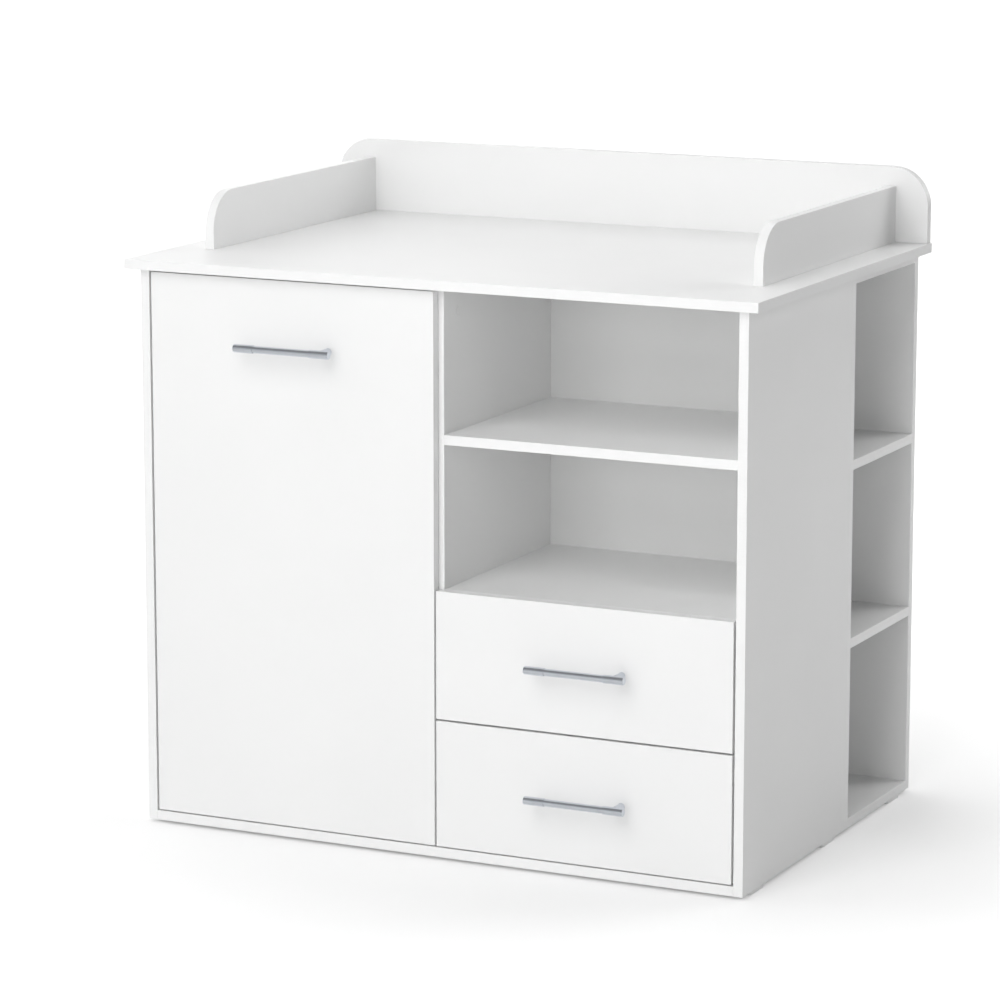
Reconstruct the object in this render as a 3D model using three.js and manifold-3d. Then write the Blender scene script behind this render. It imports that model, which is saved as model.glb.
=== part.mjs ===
// Changing table: a dresser with a door, drawers and open compartments, a shelf unit behind it
// that opens to both sides, and a two-board top with rails on three sides.
// Millimetres, +Z up, front towards -Y. The origin is the centre of the footprint box on the floor.

import * as THREE from "three";
import { mergeVertices } from "three/addons/utils/BufferGeometryUtils.js";
import Module from "manifold-3d";

const wasm = await Module();
wasm.setup();

// ---------------------------------------------------------------- driving dimensions
const BOARD = 15; // melamine-faced chipboard
const HDF = 3; // back panel and drawer bottoms
const GROOVE = 6; // depth of the grooves that hold the HDF

const WIDTH = 1000; // over the side panels
const DEPTH = 406; // of the dresser's side panels
const HEIGHT = 864; // of the side panels
const FOOT = 5; // height of the glides under the panels
const GAP = 3; // between two fronts
const EDGE_GAP = 3.5; // between a front and the panel beside it
const BOTTOM_GAP = 2.2; // between a front and the bottom panel
const SETBACK = 17; // front edges of the divider and the shelves, behind the side panels'
const BACK_Y = 388; // inner face of the back panel

const TOP_SIDE = 20; // overhang of the top at each side
const TOP_FRONT = 15; // overhang of the top at the front
const TOP_SEAM_Y = 421; // where the front and rear top boards meet
const TOP_REAR_Y = 693.5;

const DIVIDER_X = 492; // left face of the divider
const OPEN_SHELF_Z = 629; // underside of the shelf between the open compartments
const FIXED_SHELF_Z = 395; // underside of the shelf over the drawers
const DOOR_SHELF_Z = [290, 567]; // undersides of the shelves behind the door
const DOOR_SHELF_FRONT = 45;
const DOOR_SHELF_PLAY = 0.5; // at each side
const DOOR_SHELF_REAR_GAP = 3;
const DOOR_TOP_Z = 860;
const DOOR_HANDLE_Z = 758;
const DRAWERS_TOP_Z = 410;
const DRAWER_SPLIT_Z = 212.75; // middle of the gap between the drawer fronts

const UNIT_REAR_Y = 689; // rear face of the side-access unit
const UNIT_SHELF_Z = [285, 563]; // undersides of its shelves

const RAIL_RADIUS = 60;
const SIDE_RAIL_X = 35.5; // outer face of a side rail, from the side panel's outer face
const SIDE_RAIL_Y = 137.5; // front end of the side rails
const SIDE_RAIL_HEIGHT = 88;
const BACK_RAIL_HEIGHT = 118;
const BACK_RAIL_INSET = 2.5; // from each end of the top

const HANDLE_SPACING = 128; // between the two fixing holes
const HANDLE_REACH = 28.5; // from the front to the bar's centre line
const BAR_RADIUS = 5.4;
const SLEEVE_RADIUS = 6.25;
const SLEEVE_LENGTH = 33;
const POST_RADIUS = 5.5;

const DRAWER_SIDE = 12; // thickness of the drawer sides and back
const DRAWER_CLEARANCE = 12.5; // room for a runner at each side of a drawer
const DRAWER_SIDE_HEIGHT = 130;
const DRAWER_LIFT = 17; // from a front's lower edge to its drawer sides
const DRAWER_BACK_Y = 355;
const DRAWER_BOTTOM_LIFT = 10; // from a drawer side's lower edge to its bottom
const RUNNER_SHEET = 1.5;
const RUNNER_REACH = 10; // of a runner's track and lips, from the wall behind them

// Concealed hinge, seen from above: a link turns on the cabinet arm and carries the door's cup.
const ARM_PIVOT = new THREE.Vector2(60.25, 24);
const CUP_PIVOT = new THREE.Vector2(44.25, 8.75);
const HINGE_Z = [118.5, 760];
const CUP_X = 40.5;
const CUP_RADIUS = 17.5;
const CUP_DEPTH = 12;
const CUP_SHEET = 1; // thickness of the pressed cup and its flange
const CUP_FIT = 0.25; // between the cup and the door's bore
const CUP_FLANGE = 2; // flange beyond the cup
const EAR_HALF_WIDTH = 6;
const EAR_REACH = 32; // from the cup's centre to the end of a screw ear
const LINK_HALF_HEIGHT = 7.5;
const LINK_BAR = 2.5;
const LINK_EYE_RADIUS = 2.75;
const LINK_BORE_RADIUS = 1.5;
const PIN_RADIUS = 1.25;
const PIN_HOLDER = 3; // width and height of the posts that hold the pin in the cup
const ARM_REACH_Y = 41; // front face of the stretch that leaves the side panel
const ARM_HALF_WIDTH = 3; // of the fork that holds the link's pin
const ARM_CHEEK = 2;
const ARM_LENGTH_Y = 87; // rear end of the arm on the side panel
const PLATE_HALF_HEIGHT = 25;
const PLATE_THICKNESS = 2;

// ---------------------------------------------------------------- colours
const melamine = { color: 0xf3f3f1, roughness: 0.45, metalness: 0 };
const board = { color: 0xd9d9d6, roughness: 0.6, metalness: 0 };
const steel = { color: 0xb9bec4, roughness: 0.3, metalness: 1 };
const enamel = { color: 0xe8e8e6, roughness: 0.35, metalness: 0.1 };
const plastic = { color: 0xdcdcda, roughness: 0.5, metalness: 0 };

// ---------------------------------------------------------------- frame
// Inside this group x runs from the left side panel's outer face, y from the plane of the fronts
// and z from the underside of the side panels.
const FRONT_MOST = -(HANDLE_REACH + SLEEVE_RADIUS);
const cabinetFrame = new THREE.Group();
cabinetFrame.position.set(-WIDTH / 2, -(FRONT_MOST + TOP_REAR_Y) / 2, FOOT);
const model = new THREE.Group();
model.add(cabinetFrame);

function add(name, geometry, look) {
  const mesh = new THREE.Mesh(geometry, new THREE.MeshStandardMaterial(look));
  mesh.name = name;
  cabinetFrame.add(mesh);
}

// A box between two opposite corners, given in any order.
function boxGeometry([x0, y0, z0], [x1, y1, z1]) {
  const size = [x1 - x0, y1 - y0, z1 - z0].map(Math.abs);
  const geometry = new THREE.BoxGeometry(...size);
  geometry.translate((x0 + x1) / 2, (y0 + y1) / 2, (z0 + z1) / 2);
  return geometry;
}

function cylinderGeometry(radius, length, axis, centre, segments = 32) {
  const geometry = new THREE.CylinderGeometry(radius, radius, length, segments);
  if (axis === "x") geometry.rotateZ(Math.PI / 2);
  if (axis === "z") geometry.rotateX(Math.PI / 2);
  geometry.translate(...centre);
  return geometry;
}

// A plan outline of [x, y] points, raised from z0 to z1.
function planGeometry(points, z0, z1) {
  const outline = new THREE.Shape(points.map(([x, y]) => new THREE.Vector2(x, y)));
  const geometry = new THREE.ExtrudeGeometry(outline, { depth: z1 - z0, bevelEnabled: false });
  geometry.translate(0, 0, z0);
  return geometry;
}

function solid(geometry) {
  const bare = geometry.index ? geometry.toNonIndexed() : geometry.clone();
  bare.deleteAttribute("normal");
  bare.deleteAttribute("uv");
  const merged = mergeVertices(bare, 1e-4);
  return new wasm.Manifold(
    new wasm.Mesh({
      numProp: 3,
      vertProperties: merged.attributes.position.array,
      triVerts: new Uint32Array(merged.index.array),
    }),
  );
}

function join(...geometries) {
  return geometries.map(solid).reduce((whole, piece) => whole.add(piece));
}

function toGeometry(manifold) {
  const { vertProperties, triVerts } = manifold.getMesh();
  const geometry = new THREE.BufferGeometry();
  geometry.setAttribute("position", new THREE.BufferAttribute(vertProperties, 3));
  geometry.setIndex(new THREE.BufferAttribute(triVerts, 1));
  const flat = geometry.toNonIndexed();
  flat.computeVertexNormals();
  return flat;
}

function panel(name, low, high, look = melamine) {
  add(name, boxGeometry(low, high), look);
}

// ---------------------------------------------------------------- dresser carcass
// Each side panel has a groove down its inner face for the back panel.
function sidePanel(name, outerX, inward) {
  const inner = outerX + inward * BOARD;
  const grooveFloor = inner - inward * GROOVE;
  const points = [
    [outerX, 0],
    [inner, 0],
    [inner, BACK_Y],
    [grooveFloor, BACK_Y],
    [grooveFloor, BACK_Y + HDF],
    [inner, BACK_Y + HDF],
    [inner, DEPTH],
    [outerX, DEPTH],
  ];
  add(name, planGeometry(inward > 0 ? points : points.reverse(), 0, HEIGHT), melamine);
}

const INNER_LEFT = BOARD;
const INNER_RIGHT = WIDTH - BOARD;
const BAY_LEFT = DIVIDER_X + BOARD; // left face of the drawer bay

sidePanel("side_panel_left", 0, 1);
sidePanel("side_panel_right", WIDTH, -1);
panel("bottom_panel", [INNER_LEFT, 0, 0], [INNER_RIGHT, BACK_Y, BOARD]);
panel("divider", [DIVIDER_X, SETBACK, BOARD], [BAY_LEFT, BACK_Y, HEIGHT]);
panel(
  "back_panel",
  [INNER_LEFT - GROOVE, BACK_Y, 0],
  [INNER_RIGHT + GROOVE, BACK_Y + HDF, HEIGHT],
  board,
);
panel(
  "open_shelf",
  [BAY_LEFT, SETBACK, OPEN_SHELF_Z],
  [INNER_RIGHT, BACK_Y, OPEN_SHELF_Z + BOARD],
);
panel(
  "fixed_shelf",
  [BAY_LEFT, SETBACK, FIXED_SHELF_Z],
  [INNER_RIGHT, BACK_Y, FIXED_SHELF_Z + BOARD],
);
["lower", "upper"].forEach((level, i) => {
  panel(
    `door_shelf_${level}`,
    [INNER_LEFT + DOOR_SHELF_PLAY, DOOR_SHELF_FRONT, DOOR_SHELF_Z[i]],
    [DIVIDER_X - DOOR_SHELF_PLAY, BACK_Y - DOOR_SHELF_REAR_GAP, DOOR_SHELF_Z[i] + BOARD],
  );
});

// ---------------------------------------------------------------- side-access unit behind it
const UNIT_INNER_FRONT = DEPTH + BOARD;
const UNIT_INNER_REAR = UNIT_REAR_Y - BOARD;
const PARTITION_LEFT = (WIDTH - BOARD) / 2;
const PARTITION_RIGHT = (WIDTH + BOARD) / 2;

panel("unit_front_wall", [0, DEPTH, 0], [WIDTH, UNIT_INNER_FRONT, HEIGHT]);
panel("unit_rear_wall", [0, UNIT_INNER_REAR, 0], [WIDTH, UNIT_REAR_Y, HEIGHT]);
panel("unit_floor", [0, UNIT_INNER_FRONT, 0], [WIDTH, UNIT_INNER_REAR, BOARD]);
panel(
  "unit_ceiling",
  [0, UNIT_INNER_FRONT, HEIGHT - BOARD],
  [WIDTH, UNIT_INNER_REAR, HEIGHT],
);
panel(
  "unit_partition",
  [PARTITION_LEFT, UNIT_INNER_FRONT, BOARD],
  [PARTITION_RIGHT, UNIT_INNER_REAR, HEIGHT - BOARD],
);
const unitShelfSpans = { left: [0, PARTITION_LEFT], right: [PARTITION_RIGHT, WIDTH] };
for (const [side, [x0, x1]] of Object.entries(unitShelfSpans)) {
  ["lower", "upper"].forEach((level, i) => {
    panel(
      `unit_shelf_${side}_${level}`,
      [x0, UNIT_INNER_FRONT, UNIT_SHELF_Z[i]],
      [x1, UNIT_INNER_REAR, UNIT_SHELF_Z[i] + BOARD],
    );
  });
}

// ---------------------------------------------------------------- top and rails
const TOP_Z = HEIGHT + BOARD;

panel("top_front", [-TOP_SIDE, -TOP_FRONT, HEIGHT], [WIDTH + TOP_SIDE, TOP_SEAM_Y, TOP_Z]);
panel("top_rear", [-TOP_SIDE, TOP_SEAM_Y, HEIGHT], [WIDTH + TOP_SIDE, TOP_REAR_Y, TOP_Z]);

// A side rail is drawn in its own plane, rear end at u = length, with one large corner at the front.
function sideRail(name, x0) {
  const length = TOP_REAR_Y - BOARD - SIDE_RAIL_Y;
  const outline = new THREE.Shape();
  outline.moveTo(0, 0);
  outline.lineTo(length, 0);
  outline.lineTo(length, SIDE_RAIL_HEIGHT);
  outline.lineTo(RAIL_RADIUS, SIDE_RAIL_HEIGHT);
  outline.absarc(
    RAIL_RADIUS,
    SIDE_RAIL_HEIGHT - RAIL_RADIUS,
    RAIL_RADIUS,
    Math.PI / 2,
    Math.PI,
    false,
  );
  const geometry = new THREE.ExtrudeGeometry(outline, {
    depth: BOARD,
    bevelEnabled: false,
    curveSegments: 24,
  });
  geometry.rotateX(Math.PI / 2);
  geometry.rotateZ(Math.PI / 2);
  geometry.translate(x0, SIDE_RAIL_Y, TOP_Z);
  add(name, geometry, melamine);
}

function backRail(name) {
  const length = WIDTH + 2 * (TOP_SIDE - BACK_RAIL_INSET);
  const shoulder = BACK_RAIL_HEIGHT - RAIL_RADIUS;
  const outline = new THREE.Shape();
  outline.moveTo(0, 0);
  outline.lineTo(length, 0);
  outline.lineTo(length, shoulder);
  outline.absarc(length - RAIL_RADIUS, shoulder, RAIL_RADIUS, 0, Math.PI / 2, false);
  outline.lineTo(RAIL_RADIUS, BACK_RAIL_HEIGHT);
  outline.absarc(RAIL_RADIUS, shoulder, RAIL_RADIUS, Math.PI / 2, Math.PI, false);
  const geometry = new THREE.ExtrudeGeometry(outline, {
    depth: BOARD,
    bevelEnabled: false,
    curveSegments: 24,
  });
  geometry.rotateX(Math.PI / 2);
  geometry.translate(BACK_RAIL_INSET - TOP_SIDE, TOP_REAR_Y, TOP_Z);
  add(name, geometry, melamine);
}

sideRail("rail_left", SIDE_RAIL_X);
sideRail("rail_right", WIDTH - SIDE_RAIL_X - BOARD);
backRail("rail_back");

// ---------------------------------------------------------------- glides
const GLIDE_LENGTH = 49;
const GLIDE_WIDTH = 20;
const GLIDE_CORNER = 3;

function glide(name, x0, y0) {
  const [x1, y1] = [x0 + GLIDE_WIDTH, y0 + GLIDE_LENGTH];
  const c = GLIDE_CORNER;
  const points = [
    [x0 + c, y0],
    [x1 - c, y0],
    [x1, y0 + c],
    [x1, y1 - c],
    [x1 - c, y1],
    [x0 + c, y1],
    [x0, y1 - c],
    [x0, y0 + c],
  ];
  add(name, planGeometry(points, -FOOT, 0), plastic);
}

// The outer columns stand flush with the outer faces of the side panels.
const glideColumns = {
  left: 0,
  middle: (WIDTH - GLIDE_WIDTH) / 2,
  right: WIDTH - GLIDE_WIDTH,
};
const glideRows = { front: 33, centre: 316, rear: 595 };
for (const [column, x] of Object.entries(glideColumns)) {
  for (const [row, y] of Object.entries(glideRows)) {
    if (column === "middle" && row === "rear") continue;
    glide(`glide_${column}_${row}`, x, y);
  }
}

// ---------------------------------------------------------------- handles
// A bar with a thicker sleeve at each end, on two round posts under the sleeves.
function handle(name, x, z) {
  const y = -HANDLE_REACH;
  const bar = cylinderGeometry(BAR_RADIUS, HANDLE_SPACING, "x", [x, y, z]);
  const ends = [-1, 1].flatMap((side) => {
    const postX = x + (side * HANDLE_SPACING) / 2;
    return [
      cylinderGeometry(SLEEVE_RADIUS, SLEEVE_LENGTH, "x", [postX, y, z]),
      cylinderGeometry(POST_RADIUS, HANDLE_REACH, "y", [postX, y / 2, z], 24),
    ];
  });
  add(name, toGeometry(join(bar, ...ends)), steel);
}

// ---------------------------------------------------------------- door and hinges
const FRONT_LEFT = INNER_LEFT + EDGE_GAP;
const FRONT_RIGHT = INNER_RIGHT - EDGE_GAP;
const FRONT_BOTTOM = BOARD + BOTTOM_GAP;
const MEETING_X = BAY_LEFT - BOARD / 2; // middle of the gap between the door and the drawers
const DOOR_RIGHT = MEETING_X - GAP / 2;
const DRAWER_FRONT_LEFT = MEETING_X + GAP / 2;

const cupCentre = (z, depth) => [CUP_X, BOARD - depth / 2, z];
const doorSolid = HINGE_Z.reduce(
  (door, z) =>
    door.subtract(
      solid(cylinderGeometry(CUP_RADIUS, CUP_DEPTH + 1, "y", cupCentre(z, CUP_DEPTH - 1), 48)),
    ),
  solid(boxGeometry([FRONT_LEFT, 0, FRONT_BOTTOM], [DOOR_RIGHT, BOARD, DOOR_TOP_Z])),
);
add("door_panel", toGeometry(doorSolid), melamine);
handle("door_handle", (FRONT_LEFT + DOOR_RIGHT) / 2, DOOR_HANDLE_Z);

// The cup is a pressed dish let into the door, with a pin across it and a screw ear above and below.
function hingeCup(name, z) {
  const radius = CUP_RADIUS - CUP_FIT;
  const depth = CUP_DEPTH - CUP_FIT;
  const innerRadius = radius - CUP_SHEET;
  const flangeY = BOARD + CUP_SHEET;
  const floorY = BOARD - depth + CUP_SHEET; // inner face of the cup's floor
  const dish = join(
    cylinderGeometry(radius, depth, "y", cupCentre(z, depth), 48),
    boxGeometry(
      [CUP_X - EAR_HALF_WIDTH, BOARD, z - EAR_REACH],
      [CUP_X + EAR_HALF_WIDTH, flangeY, z + EAR_REACH],
    ),
    cylinderGeometry(radius + CUP_FLANGE, CUP_SHEET, "y", [CUP_X, BOARD + CUP_SHEET / 2, z], 48),
  );
  const openY = flangeY + 1; // the cutter runs past the flange
  const hollow = cylinderGeometry(
    innerRadius,
    openY - floorY,
    "y",
    [CUP_X, (openY + floorY) / 2, z],
    48,
  );
  const { x, y } = CUP_PIVOT;
  const pinLength = 2 * innerRadius - 1;
  const pin = cylinderGeometry(PIN_RADIUS, pinLength, "z", [x, y, z], 16);
  const holders = [-1, 1].map((side) => {
    const outerZ = z + (side * pinLength) / 2 - side * 0.5;
    return boxGeometry(
      [x - PIN_HOLDER / 2, floorY - CUP_SHEET / 2, outerZ],
      [x + PIN_HOLDER / 2, y + PIN_RADIUS, outerZ - side * PIN_HOLDER],
    );
  });
  add(name, toGeometry(dish.subtract(solid(hollow)).add(join(pin, ...holders))), steel);
}

// The link is a pair of eyes joined by a flat bar, bored for the two pins.
function hingeLink(name, z) {
  const height = 2 * LINK_HALF_HEIGHT;
  const along = ARM_PIVOT.clone().sub(CUP_PIVOT);
  const bar = new THREE.BoxGeometry(along.length(), LINK_BAR, height);
  bar.rotateZ(along.angle());
  const middle = CUP_PIVOT.clone().addScaledVector(along, 0.5);
  bar.translate(middle.x, middle.y, z);
  const round = (pivot, radius, length) =>
    cylinderGeometry(radius, length, "z", [pivot.x, pivot.y, z], 24);
  const pivots = [CUP_PIVOT, ARM_PIVOT];
  const blank = join(bar, ...pivots.map((pivot) => round(pivot, LINK_EYE_RADIUS, height)));
  const link = pivots.reduce(
    (part, pivot) => part.subtract(solid(round(pivot, LINK_BORE_RADIUS, height + 2))),
    blank,
  );
  add(name, toGeometry(link), steel);
}

// The arm is screwed to the side panel, reaches round the open door's edge and holds the link's pin
// between two cheeks.
function hingeArm(name, z) {
  const half = LINK_HALF_HEIGHT + 0.5;
  const outer = half + ARM_CHEEK;
  const forkLeft = ARM_PIVOT.x - ARM_HALF_WIDTH;
  const forkRight = ARM_PIVOT.x + ARM_HALF_WIDTH;
  const forkFront = ARM_PIVOT.y - ARM_HALF_WIDTH;
  const outline = [
    [INNER_LEFT, ARM_REACH_Y],
    [forkLeft, ARM_REACH_Y],
    [forkLeft, forkFront],
    [forkRight, forkFront],
    [forkRight, ARM_REACH_Y + 5],
    [INNER_LEFT + 10, ARM_REACH_Y + 12],
    [INNER_LEFT + 4, ARM_LENGTH_Y],
    [INNER_LEFT, ARM_LENGTH_Y],
  ];
  const slot = boxGeometry(
    [forkLeft - 1, forkFront - 1, z - half],
    [forkRight + 1, ARM_PIVOT.y + 9, z + half],
  );
  const body = solid(planGeometry(outline, z - outer, z + outer)).subtract(solid(slot));
  const pin = cylinderGeometry(PIN_RADIUS, 2 * outer, "z", [ARM_PIVOT.x, ARM_PIVOT.y, z], 16);
  const plate = boxGeometry(
    [INNER_LEFT, 56, z - PLATE_HALF_HEIGHT],
    [INNER_LEFT + PLATE_THICKNESS, 72, z + PLATE_HALF_HEIGHT],
  );
  add(name, toGeometry(body.add(join(pin, plate))), steel);
}

["lower", "upper"].forEach((level, i) => {
  hingeCup(`hinge_cup_${level}`, HINGE_Z[i]);
  hingeLink(`hinge_link_${level}`, HINGE_Z[i]);
  hingeArm(`hinge_arm_${level}`, HINGE_Z[i]);
});

// ---------------------------------------------------------------- drawers and runners
const BOX_LEFT = BAY_LEFT + DRAWER_CLEARANCE;
const BOX_RIGHT = INNER_RIGHT - DRAWER_CLEARANCE;

// A Z-profile under the drawer side: a foot under the side, a wall beside it and a track that runs
// in the cabinet member, with a roller at its rear end. outward is -1 on the left, 1 on the right.
function drawerRunner(name, wallX, outward, z) {
  const outerX = wallX + outward * RUNNER_SHEET;
  const footX = wallX - outward * DRAWER_SIDE;
  const trackX = wallX + outward * RUNNER_REACH;
  const trackTop = z + 12;
  const rollerRadius = 6;
  const roller = cylinderGeometry(
    rollerRadius,
    8,
    "x",
    [wallX + outward * 6, DRAWER_BACK_Y - 9, trackTop + rollerRadius - 0.5],
    24,
  );
  const profile = join(
    boxGeometry([footX, BOARD, z - RUNNER_SHEET], [outerX, DRAWER_BACK_Y, z]),
    boxGeometry([wallX, BOARD, z - RUNNER_SHEET], [outerX, DRAWER_BACK_Y, trackTop]),
    boxGeometry([wallX, BOARD, trackTop - RUNNER_SHEET], [trackX, DRAWER_BACK_Y, trackTop]),
    roller,
  );
  add(name, toGeometry(profile), enamel);
}

// A channel on the cabinet wall, open towards the drawer, with a roller at its front end.
function cabinetRunner(name, wallX, inward, z) {
  const frontY = SETBACK + 3;
  const rearY = 370;
  const low = z - 6;
  const high = z + 26;
  const webX = wallX + inward * RUNNER_SHEET;
  const lipX = wallX + inward * RUNNER_REACH;
  const roller = cylinderGeometry(
    6.75,
    8.5,
    "x",
    [wallX + inward * 5.25, frontY + 9, z + 3.25],
    24,
  );
  const channel = join(
    boxGeometry([wallX, frontY, low], [webX, rearY, high]),
    boxGeometry([wallX, frontY, low], [lipX, rearY, low + RUNNER_SHEET]),
    boxGeometry([wallX, frontY, high - RUNNER_SHEET], [lipX, rearY, high]),
    roller,
  );
  add(name, toGeometry(channel), enamel);
}

function drawer(level, z0, z1) {
  const sideZ = z0 + DRAWER_LIFT;
  const sideTop = sideZ + DRAWER_SIDE_HEIGHT;
  const bottomZ = sideZ + DRAWER_BOTTOM_LIFT;
  const groove = solid(
    boxGeometry(
      [BOX_LEFT + DRAWER_SIDE - GROOVE, BOARD - GROOVE, bottomZ],
      [BOX_RIGHT - DRAWER_SIDE + GROOVE, DRAWER_BACK_Y + 1, bottomZ + HDF],
    ),
  );
  const grooved = (low, high) => toGeometry(solid(boxGeometry(low, high)).subtract(groove));

  add(
    `drawer_${level}_front`,
    grooved([DRAWER_FRONT_LEFT, 0, z0], [FRONT_RIGHT, BOARD, z1]),
    melamine,
  );
  add(
    `drawer_${level}_side_left`,
    grooved([BOX_LEFT, BOARD, sideZ], [BOX_LEFT + DRAWER_SIDE, DRAWER_BACK_Y, sideTop]),
    melamine,
  );
  add(
    `drawer_${level}_side_right`,
    grooved([BOX_RIGHT - DRAWER_SIDE, BOARD, sideZ], [BOX_RIGHT, DRAWER_BACK_Y, sideTop]),
    melamine,
  );
  panel(
    `drawer_${level}_back`,
    [BOX_LEFT + DRAWER_SIDE, DRAWER_BACK_Y - DRAWER_SIDE, bottomZ + HDF],
    [BOX_RIGHT - DRAWER_SIDE, DRAWER_BACK_Y, sideTop],
  );
  panel(
    `drawer_${level}_bottom`,
    [BOX_LEFT + DRAWER_SIDE - GROOVE, BOARD - GROOVE, bottomZ],
    [BOX_RIGHT - DRAWER_SIDE + GROOVE, DRAWER_BACK_Y, bottomZ + HDF],
    board,
  );
  handle(`drawer_${level}_handle`, (DRAWER_FRONT_LEFT + FRONT_RIGHT) / 2, (z0 + z1) / 2);
  drawerRunner(`drawer_${level}_runner_left`, BOX_LEFT, -1, sideZ);
  drawerRunner(`drawer_${level}_runner_right`, BOX_RIGHT, 1, sideZ);
  cabinetRunner(`cabinet_runner_${level}_left`, BAY_LEFT, 1, sideZ);
  cabinetRunner(`cabinet_runner_${level}_right`, INNER_RIGHT, -1, sideZ);
}

drawer("lower", FRONT_BOTTOM, DRAWER_SPLIT_Z - GAP / 2);
drawer("upper", DRAWER_SPLIT_Z + GAP / 2, DRAWERS_TOP_Z);

export default model;
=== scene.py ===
"""Changing table: materials, small fittings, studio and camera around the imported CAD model.

Metres, in the model's own frame: +Z up, front towards -Y, origin on the floor under the middle.
"""

import math

import bmesh
import bpy
from mathutils import Matrix, Vector


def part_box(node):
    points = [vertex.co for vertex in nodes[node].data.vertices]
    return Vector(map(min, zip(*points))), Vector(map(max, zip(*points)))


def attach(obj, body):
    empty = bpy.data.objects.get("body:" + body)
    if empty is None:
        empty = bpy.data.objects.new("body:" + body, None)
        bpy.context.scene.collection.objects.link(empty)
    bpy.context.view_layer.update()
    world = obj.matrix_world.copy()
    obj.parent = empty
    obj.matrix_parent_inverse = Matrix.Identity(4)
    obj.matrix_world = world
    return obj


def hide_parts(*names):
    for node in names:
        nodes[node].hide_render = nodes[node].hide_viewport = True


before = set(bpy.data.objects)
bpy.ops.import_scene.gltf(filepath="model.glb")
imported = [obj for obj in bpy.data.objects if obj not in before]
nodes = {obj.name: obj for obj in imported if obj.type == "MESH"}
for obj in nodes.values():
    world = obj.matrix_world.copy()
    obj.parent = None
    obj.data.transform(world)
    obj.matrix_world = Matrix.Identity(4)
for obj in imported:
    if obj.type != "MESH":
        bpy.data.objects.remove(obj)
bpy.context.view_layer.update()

MM = 0.001
X = Vector((1, 0, 0))
Y = Vector((0, 1, 0))

# ---------------------------------------------------------------- driving sizes
BOARD_EDGE = 0.5 * MM  # radius of the edge band on a board
TOP_EDGE = 0.4 * MM  # tighter on the two top boards, so that their seam stays fine
METAL_EDGE = 0.25 * MM
SHEET_EDGE = 0.2 * MM  # on the fibreboard
GLIDE_EDGE = 0.8 * MM

SLEEVE_LENGTH = 33 * MM
BAR_RADIUS = 5.4 * MM
BORE_RADIUS = 5.55 * MM
BORE_DEPTH = 20 * MM
POST_RADIUS = 5.5 * MM

CAM_RADIUS = 8 * MM
CAM_BELOW_TOP = 40 * MM
CAM_FROM_FRONT = 45 * MM

PIN_RADIUS = 2.5 * MM
HOLE_RADIUS = 2.6 * MM
HOLE_DEPTH = 9 * MM
HOLE_PITCH = 32 * MM
HOLES_PER_GROUP = 5
HOLE_FROM_EDGE = 37 * MM

REAR_CAP_INSET = 70 * MM
BUMPER_FROM_END = 14 * MM
BUMPER_FROM_EDGE = 3.3 * MM
CUP_SCREW_OFFSET = 26 * MM
PLATE_SCREW_OFFSET = 19 * MM
PLATE_SCREW_FROM_REAR = 23 * MM
PLATE_THICKNESS = 2 * MM


# ---------------------------------------------------------------- material toolkit
NOISE_RANGE = (0.3, 0.7)  # nearly all values of a noise lie between these


def new_material(name, color, roughness, metallic=0.0):
    material = bpy.data.materials.new(name)
    material.use_nodes = True
    shader = material.node_tree.nodes["Principled BSDF"]
    shader.inputs["Base Color"].default_value = (*color, 1)
    shader.inputs["Roughness"].default_value = roughness
    shader.inputs["Metallic"].default_value = metallic
    material.diffuse_color = (*color, 1)
    return material


def add_noise(material, per_metre, detail=2.0, stretch=(1, 1, 1)):
    """Noise fixed to the part, with about per_metre features in a metre."""
    tree = material.node_tree
    coordinates = tree.nodes.new("ShaderNodeTexCoord")
    mapping = tree.nodes.new("ShaderNodeMapping")
    mapping.inputs["Scale"].default_value = stretch
    noise = tree.nodes.new("ShaderNodeTexNoise")
    noise.inputs["Scale"].default_value = per_metre
    noise.inputs["Detail"].default_value = detail
    tree.links.new(coordinates.outputs["Object"], mapping.inputs["Vector"])
    tree.links.new(mapping.outputs["Vector"], noise.inputs["Vector"])
    return noise.outputs["Fac"]


def link_range(tree, source, target, spread):
    """Maps the source socket from (from_min, from_max) to (to_min, to_max) into the target."""
    mapped = tree.nodes.new("ShaderNodeMapRange")
    for name, value in zip(("From Min", "From Max", "To Min", "To Max"), spread):
        mapped.inputs[name].default_value = value
    tree.links.new(source, mapped.inputs["Value"])
    tree.links.new(mapped.outputs["Result"], target)


def vary_color(material, factor, dark, light):
    tree = material.node_tree
    ramp = tree.nodes.new("ShaderNodeValToRGB")
    for stop, position, color in zip(ramp.color_ramp.elements, NOISE_RANGE, (dark, light)):
        stop.position = position
        stop.color = (*color, 1)
    tree.links.new(factor, ramp.inputs["Fac"])
    shader = tree.nodes["Principled BSDF"]
    tree.links.new(ramp.outputs["Color"], shader.inputs["Base Color"])


def vary_roughness(material, factor, smooth, rough):
    tree = material.node_tree
    roughness = tree.nodes["Principled BSDF"].inputs["Roughness"]
    link_range(tree, factor, roughness, (*NOISE_RANGE, smooth, rough))


def add_bump(material, layers):
    """Stacks (factor, height in metres) layers of relief, the coarsest first."""
    tree = material.node_tree
    below = None
    for factor, height in layers:
        bump = tree.nodes.new("ShaderNodeBump")
        bump.inputs["Strength"].default_value = 1
        bump.inputs["Distance"].default_value = height
        tree.links.new(factor, bump.inputs["Height"])
        if below:
            tree.links.new(below, bump.inputs["Normal"])
        below = bump.outputs["Normal"]
    tree.links.new(below, tree.nodes["Principled BSDF"].inputs["Normal"])


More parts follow.
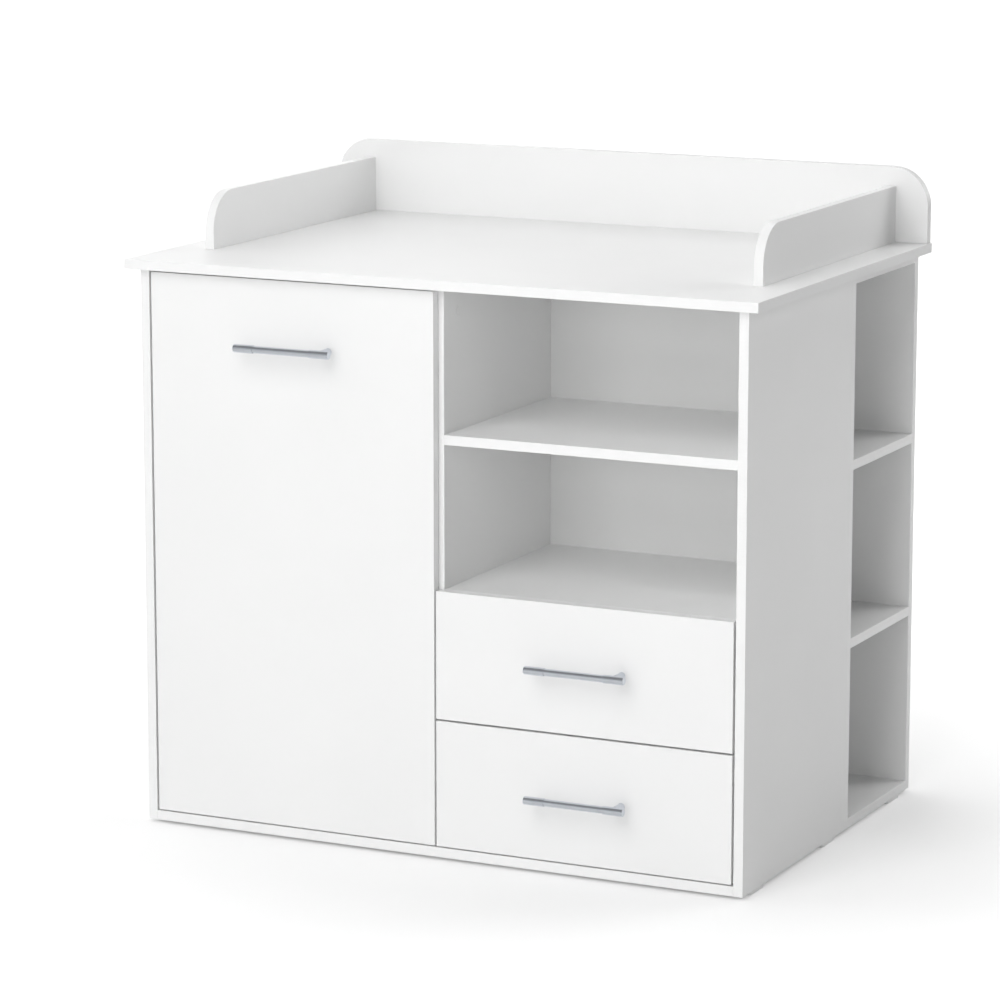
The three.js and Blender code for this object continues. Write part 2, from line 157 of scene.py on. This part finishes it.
# ---------------------------------------------------------------- materials
def melamine_material():
    """White melamine foil: a satin face with a fine pearl embossing."""
    material = new_material("melamine", (0.9, 0.902, 0.9), 0.4)
    cloud = add_noise(material, 5, detail=3)
    pearl = add_noise(material, 1300, detail=2)
    vary_color(material, cloud, (0.893, 0.895, 0.893), (0.907, 0.909, 0.907))
    vary_roughness(material, pearl, 0.34, 0.46)
    add_bump(material, [(add_noise(material, 28, detail=1), 0.04 * MM), (pearl, 0.02 * MM)])
    return material


def edge_band_material():
    """The plastic band on the boards' edges: smoother, with faint draw lines along it."""
    material = new_material("edge_band", (0.912, 0.914, 0.912), 0.32)
    streaks = add_noise(material, 60, detail=3, stretch=(1, 1, 12))
    grain = add_noise(material, 900, detail=1)
    vary_color(material, streaks, (0.906, 0.908, 0.906), (0.918, 0.92, 0.918))
    vary_roughness(material, grain, 0.27, 0.37)
    add_bump(material, [(streaks, 0.012 * MM), (grain, 0.008 * MM)])
    return material


def hdf_material():
    """Thin fibreboard, white lacquered: flatter, with the fibres faintly showing."""
    material = new_material("white_hdf", (0.885, 0.887, 0.884), 0.55)
    fibres = add_noise(material, 520, detail=4, stretch=(1, 1, 0.35))
    cloud = add_noise(material, 9, detail=3)
    vary_color(material, cloud, (0.877, 0.879, 0.875), (0.893, 0.895, 0.892))
    vary_roughness(material, fibres, 0.48, 0.62)
    add_bump(material, [(fibres, 0.05 * MM)])
    return material


def handle_material():
    """Satin chrome: bluish, with fine brush lines along the bar."""
    material = new_material("satin_chrome", (0.66, 0.69, 0.74), 0.2, metallic=1)
    brush = add_noise(material, 2600, detail=3, stretch=(0.02, 1, 1))
    smudge = add_noise(material, 60, detail=2)
    vary_color(material, smudge, (0.645, 0.678, 0.73), (0.675, 0.702, 0.75))
    vary_roughness(material, brush, 0.16, 0.24)
    add_bump(material, [(brush, 0.0015 * MM)])
    return material


def hinge_material():
    """Nickel-plated pressed steel."""
    material = new_material("nickel", (0.66, 0.65, 0.63), 0.3, metallic=1)
    rolling = add_noise(material, 700, detail=3, stretch=(1, 1, 0.1))
    stain = add_noise(material, 90, detail=2)
    vary_color(material, stain, (0.62, 0.61, 0.59), (0.69, 0.68, 0.665))
    vary_roughness(material, rolling, 0.24, 0.4)
    add_bump(material, [(rolling, 0.012 * MM)])
    return material


def zinc_material():
    """Zinc-plated screws: bluish and slightly mottled."""
    material = new_material("zinc", (0.62, 0.64, 0.66), 0.34, metallic=1)
    mottle = add_noise(material, 1600, detail=3)
    vary_color(material, mottle, (0.54, 0.56, 0.58), (0.68, 0.7, 0.72))
    vary_roughness(material, mottle, 0.26, 0.44)
    add_bump(material, [(mottle, 0.01 * MM)])
    return material


def enamel_material():
    """Baked white enamel on the runners, with the orange peel of a powder coat."""
    material = new_material("white_enamel", (0.8, 0.8, 0.785), 0.36)
    peel = add_noise(material, 420, detail=1)
    cloud = add_noise(material, 30, detail=2)
    vary_color(material, cloud, (0.785, 0.785, 0.77), (0.815, 0.815, 0.8))
    vary_roughness(material, peel, 0.3, 0.42)
    add_bump(material, [(peel, 0.03 * MM)])
    return material


def plastic_material(name, color, spread, roughness, per_metre):
    """Moulded plastic with an eroded texture."""
    material = new_material(name, color, roughness)
    spark = add_noise(material, per_metre, detail=2)
    flow = add_noise(material, 80, detail=2)
    dark = tuple(c - spread for c in color)
    light = tuple(c + spread for c in color)
    vary_color(material, flow, dark, light)
    vary_roughness(material, spark, roughness - 0.08, roughness + 0.08)
    add_bump(material, [(spark, 0.02 * MM)])
    return material


def hole_material():
    """Raw chipboard inside a drilled hole."""
    material = new_material("raw_board", (0.42, 0.33, 0.23), 0.9)
    chips = add_noise(material, 900, detail=4)
    vary_color(material, chips, (0.25, 0.18, 0.11), (0.55, 0.44, 0.31))
    vary_roughness(material, chips, 0.8, 1.0)
    add_bump(material, [(chips, 0.15 * MM)])
    return material


melamine = melamine_material()
edge_band = edge_band_material()
white_hdf = hdf_material()
satin_chrome = handle_material()
nickel = hinge_material()
zinc = zinc_material()
white_enamel = enamel_material()
glide_plastic = plastic_material("glide_plastic", (0.86, 0.862, 0.86), 0.02, 0.5, 1800)
cap_plastic = plastic_material("cap_plastic", (0.86, 0.863, 0.86), 0.01, 0.42, 2200)
pad_plastic = plastic_material("pad_plastic", (0.7, 0.72, 0.73), 0.02, 0.25, 700)
raw_board = hole_material()


# ---------------------------------------------------------------- finish of the CAD parts
def round_edges(node, width, segments=3):
    """Welds the node's triangles into whole faces and rounds its edges, by modifiers only."""
    mesh = node.data
    for layer in ("custom_normal", "sharp_edge"):
        if layer in mesh.attributes:
            mesh.attributes.remove(mesh.attributes[layer])
    mesh.polygons.foreach_set("use_smooth", [True] * len(mesh.polygons))
    weld = node.modifiers.new("weld", "WELD")
    weld.merge_threshold = 0.01 * MM
    flat = node.modifiers.new("flat_faces", "DECIMATE")
    flat.decimate_type = "DISSOLVE"
    flat.angle_limit = math.radians(0.5)
    bevel = node.modifiers.new("edges", "BEVEL")
    bevel.width = width
    bevel.segments = segments
    bevel.limit_method = "ANGLE"
    bevel.angle_limit = math.radians(30)
    bevel.harden_normals = True


def paint(node, material):
    node.data.materials.clear()
    node.data.materials.append(material)


def finish_board(name, edge=BOARD_EDGE):
    """Foil on the board's two faces, band on its narrow sides."""
    node = nodes[name]
    paint(node, melamine)
    node.data.materials.append(edge_band)
    low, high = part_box(name)
    size = high - low
    thin = min(range(3), key=lambda axis: size[axis])
    for face in node.data.polygons:
        face.material_index = 0 if abs(face.normal[thin]) > 0.5 else 1
    round_edges(node, edge)


METAL_NODES = [name for name in nodes if name.startswith("hinge_")]
HDF_NODES = [name for name in nodes if name == "back_panel" or name.endswith("_bottom")]
RUNNER_NODES = [name for name in nodes if "runner" in name]
GLIDE_NODES = [name for name in nodes if name.startswith("glide_")]
HANDLE_NODES = [name for name in nodes if name.endswith("_handle")]
TOP_NODES = ["top_front", "top_rear"]
OTHERS = METAL_NODES + HDF_NODES + RUNNER_NODES + GLIDE_NODES + HANDLE_NODES + TOP_NODES
BOARD_NODES = [name for name in nodes if name not in OTHERS]

for name in BOARD_NODES:
    finish_board(name)
for name in TOP_NODES:
    finish_board(name, TOP_EDGE)
for name in HDF_NODES:
    paint(nodes[name], white_hdf)
    round_edges(nodes[name], SHEET_EDGE, segments=2)
for name in METAL_NODES:
    paint(nodes[name], nickel)
    round_edges(nodes[name], METAL_EDGE, segments=2)
for name in RUNNER_NODES:
    paint(nodes[name], white_enamel)
    round_edges(nodes[name], METAL_EDGE, segments=2)
for name in GLIDE_NODES:
    paint(nodes[name], glide_plastic)
    round_edges(nodes[name], GLIDE_EDGE, segments=4)


# ---------------------------------------------------------------- mesh toolkit
def fillet_profile(corners, steps=5):
    """The profile of (along, radius, fillet) corners with an arc at each filleted one."""
    outline = []
    for i, (along, radius, fillet) in enumerate(corners):
        here = Vector((along, radius))
        if i in (0, len(corners) - 1) or fillet == 0:
            outline.append(here)
            continue
        back = (Vector(corners[i - 1][:2]) - here).normalized()
        ahead = (Vector(corners[i + 1][:2]) - here).normalized()
        half_angle = back.angle(ahead) / 2
        middle = (back + ahead).normalized()
        centre = here + middle * (fillet / math.sin(half_angle))
        reach = fillet / math.tan(half_angle)
        first = (here + back * reach - centre).normalized()
        last = (here + ahead * reach - centre).normalized()
        for step in range(steps + 1):
            outline.append(centre + first.slerp(last, step / steps) * fillet)
    return outline


def facing(point, normal):
    """A placement that turns local +Z to the normal and puts the origin at the point."""
    return Matrix.Translation(point) @ Vector(normal).to_track_quat("Z", "Y").to_matrix().to_4x4()


def turned(corners, segments=48):
    """A solid turned about local Z; its profile starts and ends on the axis."""
    shape = bmesh.new()
    rings = []
    for along, radius in fillet_profile(corners):
        if radius < 1e-7:
            rings.append([shape.verts.new((0, 0, along))])
            continue
        angles = [2 * math.pi * k / segments for k in range(segments)]
        ring = [(radius * math.cos(a), radius * math.sin(a), along) for a in angles]
        rings.append([shape.verts.new(point) for point in ring])
    for lower, upper in zip(rings, rings[1:]):
        for k in range(segments):
            corners_here = [
                lower[k % len(lower)],
                lower[(k + 1) % len(lower)],
                upper[(k + 1) % len(upper)],
                upper[k % len(upper)],
            ]
            shape.faces.new(dict.fromkeys(corners_here))
    bmesh.ops.recalc_face_normals(shape, faces=shape.faces)
    return shape


def block(size, centre):
    shape = bmesh.new()
    bmesh.ops.create_cube(shape, size=1)
    shape.transform(Matrix.Translation(centre) @ Matrix.Diagonal((*size, 1)))
    return shape


def placed(shape, placement):
    shape.transform(placement)
    return shape


def to_mesh(shape, name):
    mesh = bpy.data.meshes.new(name)
    shape.to_mesh(mesh)
    shape.free()
    return mesh


def combine(first, second, operation):
    """The exact boolean of two shapes, as a new shape."""
    ends = []
    for shape in (first, second):
        end = bpy.data.objects.new("boolean_end", to_mesh(shape, "boolean_end"))
        bpy.context.scene.collection.objects.link(end)
        ends.append(end)
    boolean = ends[0].modifiers.new("boolean", "BOOLEAN")
    boolean.operation = operation
    boolean.solver = "EXACT"
    boolean.object = ends[1]
    graph = bpy.context.evaluated_depsgraph_get()
    result = bmesh.new()
    result.from_mesh(ends[0].evaluated_get(graph).data)
    for end in ends:
        mesh = end.data
        bpy.data.objects.remove(end)
        bpy.data.meshes.remove(mesh)
    return result


def repeated(template, placements):
    """One shape with a copy of the template mesh at each placement."""
    whole = bmesh.new()
    for placement in placements:
        start = len(whole.verts)
        whole.from_mesh(template)
        whole.verts.ensure_lookup_table()
        bmesh.ops.transform(whole, matrix=placement, verts=whole.verts[start:])
    return whole


def add_piece(name, shape, material, body):
    mesh = to_mesh(shape, name)
    mesh.materials.append(material)
    mesh.polygons.foreach_set("use_smooth", [True] * len(mesh.polygons))
    mesh.set_sharp_from_angle(angle=math.radians(40))
    piece = bpy.data.objects.new(name, mesh)
    bpy.context.scene.collection.objects.link(piece)
    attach(piece, body)
    return piece


# ---------------------------------------------------------------- handles
def handle_end(outer_end, inward, radius, mount_y):
    """A cast end: a sleeve bored for the bar, with the post that reaches to the front."""
    sleeve = turned(
        [
            (0, 0, 0),
            (0, radius, 1.0 * MM),
            (SLEEVE_LENGTH, radius, 0.6 * MM),
            (SLEEVE_LENGTH, BORE_RADIUS, 0.2 * MM),
            (SLEEVE_LENGTH - BORE_DEPTH, BORE_RADIUS, 0.2 * MM),
            (SLEEVE_LENGTH - BORE_DEPTH, 0, 0),
        ],
        segments=72,
    )
    placed(sleeve, facing(outer_end, inward))
    foot = outer_end + inward * (SLEEVE_LENGTH / 2)
    foot.y = mount_y
    # The post ends in the wall of the sleeve, short of the bore.
    reach = mount_y - outer_end.y - radius * 0.92
    post = turned(
        [
            (0, 0, 0),
            (0, POST_RADIUS + 0.6 * MM, 0.3 * MM),
            (1.2 * MM, POST_RADIUS, 0.6 * MM),
            (reach, POST_RADIUS, 0),
            (reach, 0, 0),
        ],
        segments=64,
    )
    placed(post, facing(foot, -Y))
    return combine(sleeve, post, "UNION")


def add_handle(node_name, body):
    low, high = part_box(node_name)
    radius = (high.z - low.z) / 2
    axis_y = low.y + radius
    axis_z = (low.z + high.z) / 2
    left = Vector((low.x, axis_y, axis_z))
    right = Vector((high.x, axis_y, axis_z))
    # Each end of the bar stops just short of the bottom of its bore.
    seat = SLEEVE_LENGTH - BORE_DEPTH + 0.2 * MM
    length = high.x - low.x - 2 * seat
    bar = turned(
        [
            (0, 0, 0),
            (0, BAR_RADIUS, 0.4 * MM),
            (length, BAR_RADIUS, 0.4 * MM),
            (length, 0, 0),
        ],
        segments=72,
    )
    placed(bar, facing(left + X * seat, X))
    bar_piece = add_piece(f"{node_name}_bar", bar, satin_chrome, body)
    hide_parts(node_name)
    for side, outer_end, inward in (("left", left, X), ("right", right, -X)):
        end = handle_end(outer_end, inward, radius, high.y)
        name = f"{node_name}_end_{side}"
        add_piece(name, end, satin_chrome, body)


BODY_OF_HANDLE = {
    "door_handle": "door",
    "drawer_lower_handle": "drawer_lower",
    "drawer_upper_handle": "drawer_upper",
}
for node_name, body in BODY_OF_HANDLE.items():
    add_handle(node_name, body)


# ---------------------------------------------------------------- screws, caps, pads
def cross_cutter(reach, width, depth, top):
    """Two crossed bars that cut a driver recess down from the height top."""
    bars = [block(size, (0, 0, top)) for size in ((reach, width, 2 * depth), (width, reach, 2 * depth))]
    return combine(bars[0], bars[1], "UNION")


def screw_head(radius, height):
    """A pan head with a cross recess."""
    head = turned(
        [
            (0, 0, 0),
            (0, radius, 0.1 * MM),
            (0.35 * height, radius, 0.25 * height),
            (height, 0.55 * radius, 0.3 * height),
            (height, 0, 0),
        ],
        segments=40,
    )
    return combine(head, cross_cutter(1.05 * radius, 0.24 * radius, 0.55 * height, height), "DIFFERENCE")


def cam_cover():
    """The face of a cam fitting: a flush disc with a rim and a cross recess."""
    rim = 0.5 * MM
    disc = turned(
        [
            (0, 0, 0),
            (0, CAM_RADIUS, 0.05 * MM),
            (rim, CAM_RADIUS - 0.3 * MM, 0.15 * MM),
            (rim, CAM_RADIUS - 1.3 * MM, 0.15 * MM),
            (0.25 * MM, CAM_RADIUS - 1.6 * MM, 0.1 * MM),
            (0.25 * MM, 0, 0),
        ],
        segments=56,
    )
    return combine(disc, cross_cutter(6 * MM, 1.3 * MM, 0.12 * MM, 0.25 * MM), "DIFFERENCE")


def cover_cap():
    """A shallow domed cap over a fixing screw."""
    return turned(
        [
            (0, 0, 0),
            (0, 6 * MM, 0.1 * MM),
            (0.5 * MM, 6 * MM, 0.35 * MM),
            (1.0 * MM, 4.2 * MM, 1.5 * MM),
            (1.1 * MM, 0, 0),
        ],
        segments=48,
    )


def shelf_pin(reach):
    """A round peg with a rounded nose; it starts inside the drilled hole."""
    return turned(
        [
            (-HOLE_DEPTH + 1 * MM, 0, 0),
            (-HOLE_DEPTH + 1 * MM, PIN_RADIUS, 0.3 * MM),
            (reach, PIN_RADIUS, 0.8 * MM),
            (reach, 0, 0),
        ],
        segments=32,
    )


def bumper():
    """A soft self-stick dot."""
    return turned(
        [
            (0, 0, 0),
            (0, 3 * MM, 0.1 * MM),
            (1.0 * MM, 2.9 * MM, 0.5 * MM),
            (1.7 * MM, 1.4 * MM, 1.5 * MM),
            (1.7 * MM, 0, 0),
        ],
        segments=40,
    )


def add_group(name, shape, placements, material, body):
    """Identical small fasteners as one piece."""
    template = to_mesh(shape, f"{name}_template")
    piece = add_piece(name, repeated(template, placements), material, body)
    bpy.data.meshes.remove(template)
    return piece


# Cam fittings: at the heads of the uprights, where they hold the top.
def add_cam_covers():
    divider_low, divider_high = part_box("divider")
    left_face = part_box("side_panel_left")[1].x
    right_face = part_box("side_panel_right")[0].x
    front = divider_low.y + CAM_FROM_FRONT
    rear = divider_high.y - CAM_FROM_FRONT
    height = divider_high.z - CAM_BELOW_TOP
    spots = [
        facing((divider_high.x, front, height), X),
        facing((divider_low.x, rear, height), -X),
        facing((left_face, front, height), X),
        facing((left_face, rear, height), X),
        facing((right_face, front, height), -X),
        facing((right_face, rear, height), -X),
    ]
    add_group("cam_covers", cam_cover(), spots, cap_plastic, "cabinet")


# White caps over the screws that hold the rear wall to the shelves of the side-access unit.
def add_rear_caps():
    wall_low, wall_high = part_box("unit_rear_wall")
    levels = ["unit_floor", "unit_shelf_left_lower", "unit_shelf_left_upper", "unit_ceiling"]
    partition_low, partition_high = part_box("unit_partition")
    columns = [
        wall_low.x + REAR_CAP_INSET,
        partition_low.x - REAR_CAP_INSET,
        partition_high.x + REAR_CAP_INSET,
        wall_high.x - REAR_CAP_INSET,
    ]
    spots = []
    for level in levels:
        low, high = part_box(level)
        for x in columns:
            spots.append(facing((x, wall_high.y, (low.z + high.z) / 2), Y))
    add_group("rear_screw_caps", cover_cap(), spots, cap_plastic, "cabinet")


# Rows of holes behind the door, and the pegs that carry its two shelves.
def add_shelf_supports():
    shelf_names = ["door_shelf_lower", "door_shelf_upper"]
    left_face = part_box("side_panel_left")[1].x
    right_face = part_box("divider")[0].x
    shelf_low, shelf_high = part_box(shelf_names[0])
    rows = [shelf_low.y + HOLE_FROM_EDGE, shelf_high.y - HOLE_FROM_EDGE]
    drill = turned(
        [
            (-HOLE_DEPTH, 0, 0),
            (-HOLE_DEPTH, HOLE_RADIUS, 0),
            (1 * MM, HOLE_RADIUS, 0),
            (1 * MM, 0, 0),
        ],
        segments=24,
    )
    drill_mesh = to_mesh(drill, "drill")
    for node_name, face_x, normal in (
        ("side_panel_left", left_face, X),
        ("divider", right_face, -X),
    ):
        holes, pins = [], []
        for shelf_name in shelf_names:
            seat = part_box(shelf_name)[0].z - PIN_RADIUS
            for y in rows:
                pins.append(facing((face_x, y, seat), normal))
                for k in range(HOLES_PER_GROUP):
                    z = seat + (k - HOLES_PER_GROUP // 2) * HOLE_PITCH
                    holes.append(facing((face_x, y, z), normal))
        cutter_mesh = to_mesh(repeated(drill_mesh, holes), f"{node_name}_drills")
        cutter_mesh.materials.append(raw_board)
        cutter = bpy.data.objects.new(f"{node_name}_drills", cutter_mesh)
        bpy.context.scene.collection.objects.link(cutter)
        cutter.hide_render = True
        cutter.hide_viewport = True
        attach(cutter, "cabinet")
        drilled = nodes[node_name].modifiers.new("shelf_holes", "BOOLEAN")
        drilled.operation = "DIFFERENCE"
        drilled.solver = "EXACT"
        drilled.object = cutter
        drilled.material_mode = "TRANSFER"
        add_group(
            f"shelf_pins_{node_name}",
            shelf_pin(8 * MM),
            pins,
            zinc,
            "cabinet",
        )
    bpy.data.meshes.remove(drill_mesh)


# Screws of the hinges: two in the ears of each cup, two in each mounting plate.
def add_hinge_screws():
    for level in ("lower", "upper"):
        low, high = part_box(f"hinge_cup_{level}")
        centre = (low + high) / 2
        ears = [
            facing((centre.x, high.y, centre.z + side * CUP_SCREW_OFFSET), Y)
            for side in (-1, 1)
        ]
        shape = screw_head(3.5 * MM, 1.6 * MM)
        add_group(f"hinge_cup_screws_{level}", shape, ears, zinc, "door")
        low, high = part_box(f"hinge_arm_{level}")
        centre = (low + high) / 2
        plate_face = low.x + PLATE_THICKNESS
        plate_y = high.y - PLATE_SCREW_FROM_REAR
        plates = [
            facing((plate_face, plate_y, centre.z + side * PLATE_SCREW_OFFSET), X)
            for side in (-1, 1)
        ]
        shape = screw_head(3.5 * MM, 1.8 * MM)
        add_group(f"hinge_arm_screws_{level}", shape, plates, zinc, "cabinet")


# The handles' own screws, on the inner faces of the door and the drawer fronts.
def add_handle_screws():
    front_of = {
        "door_handle": "door_panel",
        "drawer_lower_handle": "drawer_lower_front",
        "drawer_upper_handle": "drawer_upper_front",
    }
    for handle_name, front_name in front_of.items():
        low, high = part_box(handle_name)
        back_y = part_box(front_name)[1].y
        z = (low.z + high.z) / 2
        spots = [
            facing((x, back_y, z), Y)
            for x in (low.x + SLEEVE_LENGTH / 2, high.x - SLEEVE_LENGTH / 2)
        ]
        shape = screw_head(4 * MM, 2.4 * MM)
        body = BODY_OF_HANDLE[handle_name]
        add_group(f"{handle_name}_screws", shape, spots, zinc, body)


# Soft dots where the fronts meet the divider.
def add_bumpers():
    fronts = {
        "door_panel": ("door", 1),
        "drawer_lower_front": ("drawer_lower", 0),
        "drawer_upper_front": ("drawer_upper", 0),
    }
    for front_name, (body, side) in fronts.items():
        low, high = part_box(front_name)
        meeting_x = high.x if side else low.x
        x = meeting_x + (-BUMPER_FROM_EDGE if side else BUMPER_FROM_EDGE)
        heights = (low.z + BUMPER_FROM_END, high.z - BUMPER_FROM_END)
        spots = [facing((x, high.y, z), Y) for z in heights]
        name = f"{front_name}_bumpers"
        add_group(name, bumper(), spots, pad_plastic, body)


add_cam_covers()
add_rear_caps()
add_shelf_supports()
add_hinge_screws()
add_handle_screws()
add_bumpers()


# ---------------------------------------------------------------- studio
FLOOR_HALF = 60
FLOOR_PAINTED_GLOW = (0.5, 3, 0.2, 1)  # from and to distance, from and to glow of a glow painted on the floor: dim near the object as a painted shadow, full white far off
SHEEN_HEIGHTS = (0.25, 0.5)  # where the mirrored room turns from its low to its high sheen
AIM = Vector((0, 0, 0.5))
SOFTBOXES = [  # name, place, size, watts
    ("left_softbox", (-2.8, -0.5, 3.4), (3, 3), 26),
    ("front_softbox", (0, -3.6, 3.6), (3, 3), 88),
    ("low_softbox", (0, -6, 1.3), (4, 2.4), 81),
    ("right_softbox", (3.2, -4.2, 2.2), (3, 3), 28),
    ("top_softbox", (0, 1.8, 4.3), (3, 3), 40),
    ("rear_left_softbox", (-3, 3.2, 2.6), (3, 3), 23),
    ("rear_right_softbox", (3, 3.2, 2.6), (3, 3), 86),
]
LENS_MM = 152.5
SENSOR_MM = 36
EYE = (2.776, -5.834, 1.765)
LOOK_DOWN = math.radians(11.121)
LOOK_LEFT = math.radians(25.865)


def floor_material():
    """A pale floor with a glow painted on it for the camera only: dim near the object as a painted
    shadow round it, whitening with distance so that it has no visible end.
    """
    material = new_material("studio_floor", (0.85, 0.85, 0.85), 1.0)
    tree = material.node_tree
    shader = tree.nodes["Principled BSDF"]
    shader.inputs["Specular IOR Level"].default_value = 0
    # Painted glow, seen by the camera alone: weak near the object, which paints a shadow round it, and
    # stronger with distance.
    place = tree.nodes.new("ShaderNodeNewGeometry")
    distance = tree.nodes.new("ShaderNodeVectorMath")
    distance.operation = "LENGTH"
    rays = tree.nodes.new("ShaderNodeLightPath")
    painted_glow = tree.nodes.new("ShaderNodeMath")
    painted_glow.operation = "MULTIPLY"
    tree.links.new(place.outputs["Position"], distance.inputs[0])
    link_range(tree, distance.outputs["Value"], painted_glow.inputs[0], FLOOR_PAINTED_GLOW)
    tree.links.new(rays.outputs["Is Camera Ray"], painted_glow.inputs[1])
    tree.links.new(painted_glow.outputs["Value"], shader.inputs["Emission Strength"])
    shader.inputs["Emission Color"].default_value = (1, 1, 1, 1)
    return material


def add_floor():
    mesh = bpy.data.meshes.new("floor")
    signs = ((-1, -1), (1, -1), (1, 1), (-1, 1))
    corners = [(x * FLOOR_HALF, y * FLOOR_HALF, 0) for x, y in signs]
    mesh.from_pydata(corners, [], [(0, 1, 2, 3)])
    mesh.materials.append(floor_material())
    floor = bpy.data.objects.new("floor", mesh)
    bpy.context.scene.collection.objects.link(floor)


def add_softbox(name, location, size, power):
    """A rectangular lamp aimed at the object; those in front of it are not mirrored by it."""
    light = bpy.data.lights.new(name, "AREA")
    light.shape = "RECTANGLE"
    light.size, light.size_y = size
    light.energy = power
    lamp = bpy.data.objects.new(name, light)
    lamp.location = location
    towards = AIM - Vector(location)
    lamp.rotation_euler = towards.to_track_quat("-Z", "Y").to_euler()
    lamp.visible_glossy = location[1] > 0
    bpy.context.scene.collection.objects.link(lamp)


def set_world(left_glow, low_sheen, high_sheen):
    """A white room that lights most from the left, and mirrors brightest near the horizon."""
    world = bpy.data.worlds.new("studio")
    bpy.context.scene.world = world
    world.use_nodes = True
    tree = world.node_tree
    output = tree.nodes["World Output"]
    lighting = tree.nodes["Background"]
    mirrored = tree.nodes.new("ShaderNodeBackground")
    behind = tree.nodes.new("ShaderNodeBackground")
    for background in (lighting, mirrored, behind):
        background.inputs["Color"].default_value = (1, 1, 1, 1)
    direction = tree.nodes.new("ShaderNodeTexCoord")
    axes = tree.nodes.new("ShaderNodeSeparateXYZ")
    tree.links.new(direction.outputs["Generated"], axes.inputs["Vector"])
    link_range(tree, axes.outputs["X"], lighting.inputs["Strength"], (0, -1, 0, left_glow))
    sheen = (*SHEEN_HEIGHTS, low_sheen, high_sheen)
    link_range(tree, axes.outputs["Z"], mirrored.inputs["Strength"], sheen)
    rays = tree.nodes.new("ShaderNodeLightPath")
    below = lighting.outputs["Background"]
    for ray, background in (("Is Glossy Ray", mirrored), ("Is Camera Ray", behind)):
        mix = tree.nodes.new("ShaderNodeMixShader")
        tree.links.new(rays.outputs[ray], mix.inputs["Fac"])
        tree.links.new(below, mix.inputs[1])
        tree.links.new(background.outputs["Background"], mix.inputs[2])
        below = mix.outputs["Shader"]
    tree.links.new(below, output.inputs["Surface"])


def add_camera():
    camera = bpy.data.cameras.new("camera")
    camera.lens = LENS_MM
    camera.sensor_width = SENSOR_MM
    camera.clip_end = 200
    eye = bpy.data.objects.new("camera", camera)
    eye.location = EYE
    eye.rotation_euler = (math.pi / 2 - LOOK_DOWN, 0, LOOK_LEFT)
    bpy.context.scene.collection.objects.link(eye)
    bpy.context.scene.camera = eye


add_floor()
set_world(left_glow=0.9, low_sheen=0.7, high_sheen=0.3)
for softbox in SOFTBOXES:
    add_softbox(*softbox)
add_camera()

bpy.context.scene.view_settings.view_transform = "Standard"
